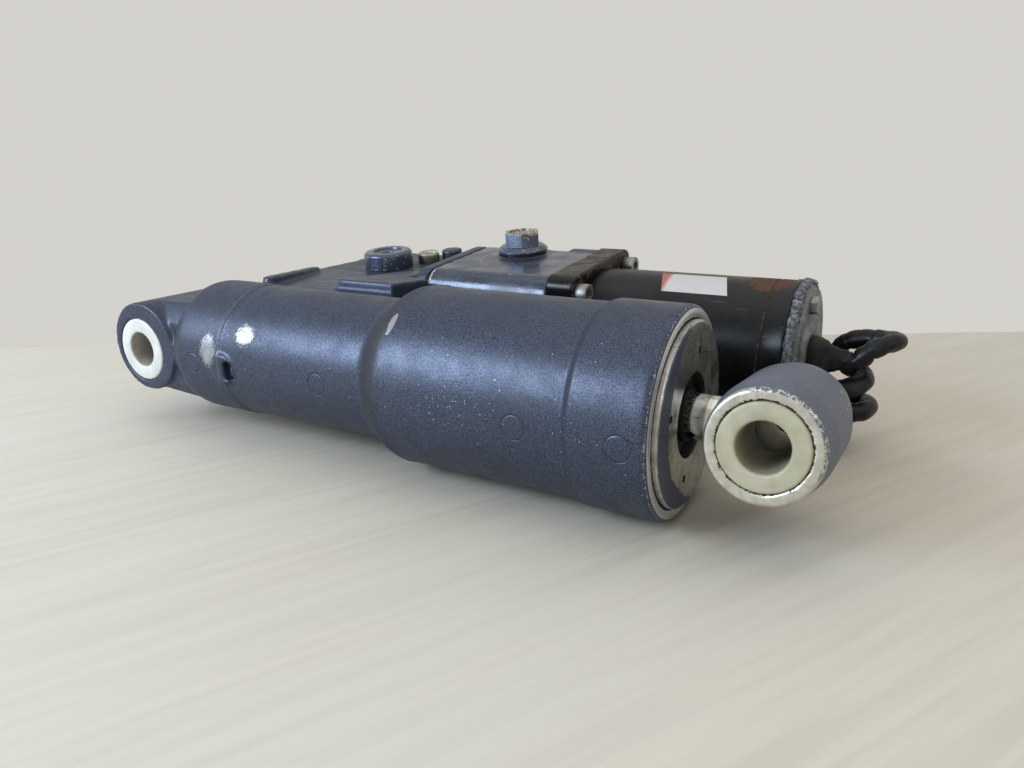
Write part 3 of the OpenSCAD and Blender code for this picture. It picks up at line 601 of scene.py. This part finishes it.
def sticker_print():
    """Blank white sticker with a red end and three faint grey smudges."""
    s = Surface("sticker_look", rough=0.45)
    smudge = s.noise(1.4, detail=4)
    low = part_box("motor_can")[0].x / MM
    red = s.ramp(s.x, low + 40, low + 37)
    colour = s.mix(red, (0.50, 0.495, 0.49), (0.42, 0.12, 0.10))
    grey = None
    for offset in (48, 55, 62):
        blob = s.ramp(s.near((low + offset, 103, 36), (2.6, 5, 4)), 0.1, 0.6)
        grey = blob if grey is None else s.math("MAXIMUM", grey, blob)
    colour = s.mix(s.math("MULTIPLY", grey, 0.55), colour, (0.18, 0.18, 0.19))
    colour = s.mix(s.ramp(smudge, 0.6, 0.75, 0, 0.5), colour, (0.45, 0.42, 0.38))
    s.bump(smudge, 0.03, 0.5)
    return s.done(colour)


def floor_board():
    """Pale board with faint streaks."""
    s = Surface("floor_look", rough=0.55)
    turn = s.nodes.new("ShaderNodeMapping")
    s.plug(turn.inputs["Vector"], s.place)
    turn.inputs["Rotation"].default_value = (0, 0, math.radians(-62))
    s.place = turn.outputs[0]
    streak = s.noise(5, detail=5, stretch=(0.05, 1, 1))
    broad = s.noise(60, detail=3, stretch=(0.2, 1, 1))
    fleck = s.noise(2.2, detail=3, stretch=(0.25, 1, 1))
    colour = s.mix(s.ramp(streak, 0.35, 0.7), (0.60, 0.565, 0.485), (0.55, 0.515, 0.44))
    colour = s.mix(s.ramp(broad, 0.35, 0.7, 0, 0.5), colour, (0.60, 0.58, 0.53))
    colour = s.mix(s.ramp(fleck, 0.70, 0.78, 0, 0.3), colour, (0.42, 0.38, 0.31))
    return s.done(colour)


def make_materials():
    metal, drawn = rough_metal, drawn_metal
    return {
        "ram_paint": ram_paint(),
        "eye_paint": eye_paint(),
        "block_paint": block_paint(),
        "black_paint": can_paint(),
        "flange_paint": flange_paint(),
        "machined_aluminium": turned_cap(),
        "cover_metal": metal("cover_look", (0.24, 0.25, 0.27), (0.10, 0.105, 0.115), 0.5, 1.6, 0.35, 0.6),
        "plug_paint": worn_plug_paint(),
        "zinc_steel": metal("zinc_look", (0.36, 0.37, 0.36), (0.20, 0.20, 0.185), 0.48, 1.5, 0.1),
        "yellow_zinc": metal("yellow_zinc_look", (0.44, 0.42, 0.34), (0.28, 0.26, 0.20), 0.42, 1.5, 0.08),
        "chrome_rod": chrome(),
        "steel": drawn("steel_look", (0.58, 0.58, 0.60), 0.25, 0),
        "spring_steel": drawn("spring_look", (0.42, 0.42, 0.44), 0.32, 2),
        "sintered_iron": metal("sintered_look", (0.34, 0.34, 0.35), (0.22, 0.22, 0.23), 0.5, 0.6, 0.05),
        "laminated_steel": drawn("lamination_look", (0.32, 0.32, 0.33), 0.4, 0),
        "ferrite": plain("ferrite_look", (0.09, 0.09, 0.10), (0.06, 0.06, 0.065), 0.55, 1.0),
        "copper": drawn("copper_look", (0.72, 0.33, 0.16), 0.28, 1),
        "bronze": metal("bronze_look", (0.55, 0.40, 0.20), (0.38, 0.27, 0.13), 0.42, 0.8, 0.05),
        "carbon": plain("carbon_look", (0.05, 0.05, 0.055), (0.03, 0.03, 0.033), 0.5, 0.8),
        "phenolic": plain("phenolic_look", (0.20, 0.14, 0.09), (0.13, 0.09, 0.06), 0.5, 1.0),
        "white_nylon": nylon("white_nylon_look", (0.66, 0.68, 0.66), (0.56, 0.57, 0.54), 0, 0, 0.06),
        "cream_nylon": nylon(
            "cream_nylon_look", (0.44, 0.425, 0.32), (0.37, 0.35, 0.25), EYE_DISTANCE, EYE_TURN, 0.2
        ),
        "black_rubber": plain(
            "black_rubber_look", (0.008, 0.008, 0.009), (0.018, 0.018, 0.019), 0.5, 1.4, Specular_IOR_Level=0.3
        ),
        "seal_plastic": plain("seal_plastic_look", (0.28, 0.16, 0.09), (0.20, 0.11, 0.06), 0.45, 1.0),
        "copper_washer": metal("copper_washer_look", (0.60, 0.36, 0.20), (0.35, 0.22, 0.13), 0.4, 1.2, 0.04),
        "filter_mesh": plain("filter_look", (0.50, 0.43, 0.27), (0.30, 0.26, 0.16), 0.5, 0.35, 0.1, 0.5),
        "sealant": sealant(),
        "lead_sleeve": sleeve_vinyl(),
        "tie_nylon": plain("tie_look", (0.78, 0.78, 0.74), (0.68, 0.68, 0.63), 0.4, 1.2),
        "connector_plastic": plain("connector_look", (0.03, 0.03, 0.034), (0.05, 0.05, 0.055), 0.45, 1.2),
    }


# ---------------------------------------------------------------- pieces made from CAD nodes

def clean_copy(node, name):
    """The node's mesh as one closed mesh of shared points, as a new object."""
    source = frame["nodes"][node].data
    mesh = bmesh.new()
    mesh.from_mesh(source)
    bmesh.ops.remove_doubles(mesh, verts=mesh.verts, dist=2e-6)
    points = [v.co / MM for v in mesh.verts]
    faces = [[v.index for v in f.verts] for f in mesh.faces]
    mesh.free()
    return mesh_object(name, points, faces)


def finish_piece(obj, slot, *nodes, body=BASE):
    obj.data.materials.clear()
    obj.data.materials.append(MATERIALS[slot])
    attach(obj, body)
    if nodes:
        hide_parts(*nodes)
    return obj


def cast_copy(node, name, voxel, passes):
    """The node as a casting: remeshed in small quads, its corners and joints rounded by smoothing."""
    obj = clean_copy(node, name)
    grid = obj.modifiers.new("grid", "REMESH")
    grid.mode = "VOXEL"
    grid.voxel_size = voxel * MM
    soften = obj.modifiers.new("soften", "SMOOTH")
    soften.factor = 0.5
    soften.iterations = passes
    applied(obj)
    obj.data.shade_smooth()
    return obj


def bevelled_copy(node, name, width):
    """The node with every sharp edge broken by a small bevel."""
    obj = clean_copy(node, name)
    mesh = bmesh.new()
    mesh.from_mesh(obj.data)
    bmesh.ops.dissolve_limit(mesh, angle_limit=math.radians(0.4), verts=mesh.verts, edges=mesh.edges)
    mesh.to_mesh(obj.data)
    mesh.free()
    bevel = obj.modifiers.new("bevel", "BEVEL")
    bevel.width = width * MM
    bevel.segments = 2
    bevel.limit_method = "ANGLE"
    bevel.angle_limit = math.radians(32)
    applied(obj)
    smooth(obj, 40)
    return obj


def eased(value, low, high):
    t = np.clip((value - low) / (high - low), 0, 1)
    return t * t * (3 - 2 * t)


def ram_profile(x):
    """Outside radius of the ram's casting at x, where it is round."""
    radius = CORE_R - (CORE_R - NARROW_R) * eased(x, SEAM_X - 0.7, SEAM_X + 0.7)
    radius = radius + (WIDE_R - NARROW_R) * eased(x, SHOULDER_X[0] - 1, SHOULDER_X[1] + 0.5)
    radius = radius + 0.3 * np.exp(-(((x - SHOULDER_X[1] - 1.5) / 1.3) ** 2))
    return radius + (BAND_R - WIDE_R) * eased(x, BAND_X[0], BAND_X[1])


def ram_casting():
    obj = cast_copy("cylinder_body", "ram_casting", 0.9, 6)
    p = points_of(obj)
    radius = np.hypot(p[:, 1], p[:, 2])
    wanted = ram_profile(p[:, 0])
    off = np.abs(radius - wanted)
    pull = np.clip((1.3 - off) / 0.5, 0, 1) * eased(p[:, 0], 36, 40) * (1 - eased(p[:, 0], 282.5, 284))
    lobe = np.hypot(p[:, 0] - 65, p[:, 2] + 2)
    pull *= np.where((p[:, 1] < 0) & (lobe < 11), eased(lobe, 8.5, 11), 1)
    scale = 1 + pull * (wanted / np.maximum(radius, 1) - 1)
    p[:, 1] *= scale
    p[:, 2] *= scale
    put_points(obj, p)
    return finish_piece(obj, "ram_paint", "cylinder_body")


def cast_pieces():
    for node, voxel, passes, body in (
        ("reservoir_housing", 0.9, 6, BASE),
        ("motor_flange", 0.8, 4, BASE),
        ("end_cover", 0.8, 4, BASE),
        ("rod_eye", 0.6, 4, "rod"),
    ):
        finish_piece(cast_copy(node, node + "_casting", voxel, passes), SLOT_OF[node], node, body=body)


def bevelled_pieces():
    for node, width, body in (
        ("lower_bushes", 0.5, BASE), ("rod_wiper", 0.25, BASE), ("valve_cap", 0.6, BASE),
        ("release_valve", 0.3, "release_screw"), ("check_plugs", 0.4, BASE), ("filler_plug", 0.45, BASE),
        ("filler_seal", 0.15, BASE), ("flange_screws", 0.4, BASE), ("cover_bolts", 0.4, BASE),
        ("upper_bushes", 0.5, "rod"), ("lead_connector", 0.5, BASE),
        ("lead_tie", 0.3, BASE),
    ):
        finish_piece(bevelled_copy(node, node + "_piece", width), SLOT_OF[node], node, body=body)


# ---------------------------------------------------------------- pieces made here

def turned(name, outline, centre, sides=128):
    """A closed ring or disc turned about the X axis through the centre, from an outline of (x, radius)."""
    cx, cy, cz = centre
    points, faces = [], []
    for x, r in outline:
        for k in range(sides):
            a = 2 * math.pi * k / sides
            points.append((cx + x, cy + r * math.cos(a), cz + r * math.sin(a)))
    count = len(outline)
    for i in range(count):
        for k in range(sides):
            a, b = i * sides, (i + 1) % count * sides
            n = (k + 1) % sides
            faces.append((a + k, a + n, b + n, b + k))
    obj = mesh_object(name, points, faces)
    face_outward(obj)
    return obj


def motor_can():
    """Rolled steel can with a shallow seam groove and a rolled lip at its end."""
    low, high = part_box("motor_can")
    x0, x1 = low.x / MM, high.x / MM
    r = (high.y - low.y) / 2 / MM
    wall, groove, depth = 2.6, x1 - 10.5, 0.35
    outline = [
        (x0, r - wall), (x0, r - 0.4), (x0 + 0.4, r), (groove - 0.8, r), (groove - 0.3, r - depth),
        (groove + 0.3, r - depth), (groove + 0.8, r), (x1 - 3.2, r), (x1 - 2.4, r + 0.45), (x1 - 0.6, r + 0.5),
        (x1, r), (x1, r - wall),
    ]
    obj = turned("motor_can_shell", outline, (0, PUMP_Y / MM, 0))
    smooth(obj, 30)
    finish_piece(obj, "black_paint", "motor_can")


def sealant_bead():
    """Uneven bead of sealant squeezed out between the can and its cover."""
    x0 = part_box("cover_sealant")[0].x / MM
    r = 35.4
    count, sides = 220, 14
    points, faces = [], []
    for i in range(count):
        a = 2 * math.pi * i / count
        for k in range(sides):
            t = 2 * math.pi * k / sides
            lump = noise.fractal(Vector((math.cos(a) * 5, math.sin(a) * 5, k * 0.35)), 0.6, 2.1, 4)
            fat = 1.9 + 0.75 * lump
            rr = r + fat * math.cos(t) * 0.85
            x = x0 + 2.1 + fat * 1.25 * math.sin(t)
            points.append((x, PUMP_Y / MM + rr * math.cos(a), rr * math.sin(a)))
    for i in range(count):
        for k in range(sides):
            a, b, n = i * sides, (i + 1) % count * sides, (k + 1) % sides
            faces.append((a + k, b + k, b + n, a + n))
    obj = mesh_object("sealant_bead", points, faces)
    obj.data.shade_smooth()
    finish_piece(obj, "sealant", "cover_sealant")


def sticker():
    """Thin patch laid on the top of the motor can, cut as a slanted rectangle."""
    low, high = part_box("motor_can")
    lift, thickness = 0.15, 0.18
    r = (high.y - low.y) / 2 / MM + lift
    x0 = low.x / MM + 33
    length, middle, half_width, slant = 32, math.radians(109), math.radians(14), 5
    across, along = 16, 24
    points, faces = [], []
    for layer in (0, thickness):
        for i in range(along + 1):
            for k in range(across + 1):
                a = middle - half_width + 2 * half_width * k / across
                x = x0 + length * i / along + slant * k / across
                points.append((x, PUMP_Y / MM + (r - layer) * math.cos(a), (r - layer) * math.sin(a)))
    size = (along + 1) * (across + 1)
    row = across + 1
    for i in range(along):
        for k in range(across):
            a = i * row + k
            faces.append((a, a + row, a + row + 1, a + 1))
            faces.append((size + a, size + a + 1, size + a + row + 1, size + a + row))
    for i in range(along):
        for a in (i * row, i * row + across):
            faces.append((a, a + row, size + a + row, size + a))
    for k in range(across):
        for a in (k, along * row + k):
            faces.append((a, a + 1, size + a + 1, size + a))
    obj = mesh_object("motor_sticker", points, faces)
    face_outward(obj)
    smooth(obj, 40)
    obj.data.materials.append(sticker_print())
    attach(obj, BASE)


# ---------------------------------------------------------------- leads

def curve_through(points, steps):
    """Smooth points between the given ones, which the curve passes through."""
    p = [Vector(q) for q in points]
    p = [2 * p[0] - p[1]] + p + [2 * p[-1] - p[-2]]
    result = []
    for a, b, c, d in zip(p, p[1:], p[2:], p[3:]):
        for k in range(steps):
            t = k / steps
            square, cube = 2 * a - 5 * b + 4 * c - d, 3 * b - a - 3 * c + d
            result.append(0.5 * ((2 * b) + (c - a) * t + square * t * t + cube * t ** 3))
    return result + [p[-2]]


def hank_route():
    """The folds behind the motor: out and back on the surface, then over the first run to the connector."""
    x0, x1 = HANK_ENDS
    near, far, low, high = HANK_Y - HANK_BEND, HANK_Y + HANK_BEND, HANK_LOW, HANK_LOW + LEAD_D + 0.4
    route = [(x, near, low) for x in (270, 254, 238, 222)]
    for k in range(0, 7):
        a = math.pi * k / 6
        route.append((x0 - HANK_BEND * math.sin(a), HANK_Y - HANK_BEND * math.cos(a), low))
    route += [(x, far, low) for x in (222, 238, 254)]
    for k in range(0, 7):
        a = math.pi * k / 6
        lift = (high - low) * eased(k, 0, 6)
        route.append((x1 + HANK_BEND * math.sin(a), HANK_Y + HANK_BEND * math.cos(a), low + float(lift)))
    route += [(256, near, high), (240, near + 1, high), (224, near + 4, high), (208, near + 8, high)]
    route += [(194, HANK_Y, high), (186, HANK_Y, high - 3), TAIL_END]
    return route


def sweep(name, line, sides, width_at, flat_at):
    """Closed tube along a line of points. Its section is width_at wide and flat_at times as high."""
    side = Vector((0, 0, 1))
    points, faces = [], []
    for i, here in enumerate(line):
        ahead = (line[min(i + 1, len(line) - 1)] - line[max(i - 1, 0)]).normalized()
        side = (side - ahead * side.dot(ahead)).normalized()
        other = ahead.cross(side)
        for k in range(sides):
            a = 2 * math.pi * k / sides
            r = width_at(i, a) / 2
            points.append(here + r * math.cos(a) * other + r * flat_at(i) * math.sin(a) * side)
    last = len(line) - 1
    for i in range(last):
        for k in range(sides):
            a, b, n = i * sides, (i + 1) * sides, (k + 1) % sides
            faces.append((a + k, a + n, b + n, b + k))
    faces.append(tuple(range(sides - 1, -1, -1)))
    faces.append(tuple(last * sides + k for k in range(sides)))
    return mesh_object(name, points, faces)


def make_leads():
    """The sleeved leads, from the boot to the connector, with creases where they fold."""
    line = curve_through(LEAD + hank_route(), 8)
    bend = [0.0]
    for a, b, c in zip(line, line[1:], line[2:]):
        bend.append((b - a).angle(c - b) / max((c - a).length / 2, 0.01))
    bend.append(0.0)

    def width_at(i, a):
        ripple = noise.noise(Vector((i * 0.22, math.cos(a) * 0.8, math.sin(a) * 0.8)))
        crease = math.sin(i * 1.9) * min(bend[i] * 3.0, 0.4)
        return LEAD_D * (0.97 + 0.06 * ripple + 0.05 * crease)

    def flat_at(i):
        return 0.97 - 0.18 * min(bend[i] * 8, 1.0)

    obj = sweep("motor_leads", line, 20, width_at, flat_at)
    smooth(obj, 50)
    finish_piece(obj, "lead_sleeve", "lead_sleeve", "lead_hank")


def lead_boot():
    """Rubber boot over the outlet: a squared base that narrows to the leads, with two soft ribs."""
    low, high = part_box("lead_grommet")
    x0, x1 = low.x / MM - 1, high.x / MM + 1.5
    cy, cz = LEAD[0][1], LEAD[0][2]
    rings, sides = 34, 40
    points, faces = [], []
    for i in range(rings):
        t = i / (rings - 1)
        half = 9.4 - 4.6 * eased(t, 0.15, 0.85) + 0.45 * math.exp(-(((t - 0.45) / 0.05) ** 2))
        half += 0.4 * math.exp(-(((t - 0.7) / 0.05) ** 2)) - 0.5 * max(0, t - 0.93) / 0.07
        square = 0.55 * (1 - eased(t, 0.2, 0.8))
        for k in range(sides):
            a = 2 * math.pi * k / sides
            c, s = math.cos(a), math.sin(a)
            r = half * (1 - square + square * min(1 / max(abs(c), abs(s)), 1.3))
            points.append((x0 + (x1 - x0) * t, cy + r * c, cz + r * s))
    for i in range(rings - 1):
        for k in range(sides):
            a, b, n = i * sides, (i + 1) * sides, (k + 1) % sides
            faces.append((a + k, b + k, b + n, a + n))
    faces.append(tuple(range(sides)))
    faces.append(tuple((rings - 1) * sides + k for k in range(sides - 1, -1, -1)))
    obj = mesh_object("lead_boot", points, faces)
    smooth(obj, 50)
    finish_piece(obj, "black_rubber", "lead_grommet")


# ---------------------------------------------------------------- floor

def make_floor():
    """Pale board that ends behind the object, where a wall would stand."""
    low = CAD_BOX[0][2] / MM
    edge = [(-1600, -725), (1900, 1232)]
    points = [(-1600, -2600, low), (1900, -2600, low), (*edge[1], low), (*edge[0], low)]
    obj = mesh_object("floor", points, [(0, 1, 2, 3)])
    obj.data.materials.append(floor_board())


make_camera()
MATERIALS = make_materials()
for node, slot in SLOT_OF.items():
    cad = frame["nodes"][node]
    cad.data.materials.clear()
    cad.data.materials.append(MATERIALS[slot])
bevelled_pieces()
make_leads()
lead_boot()
ram_casting()
cast_pieces()
motor_can()
sealant_bead()
sticker()
make_light()
make_floor()
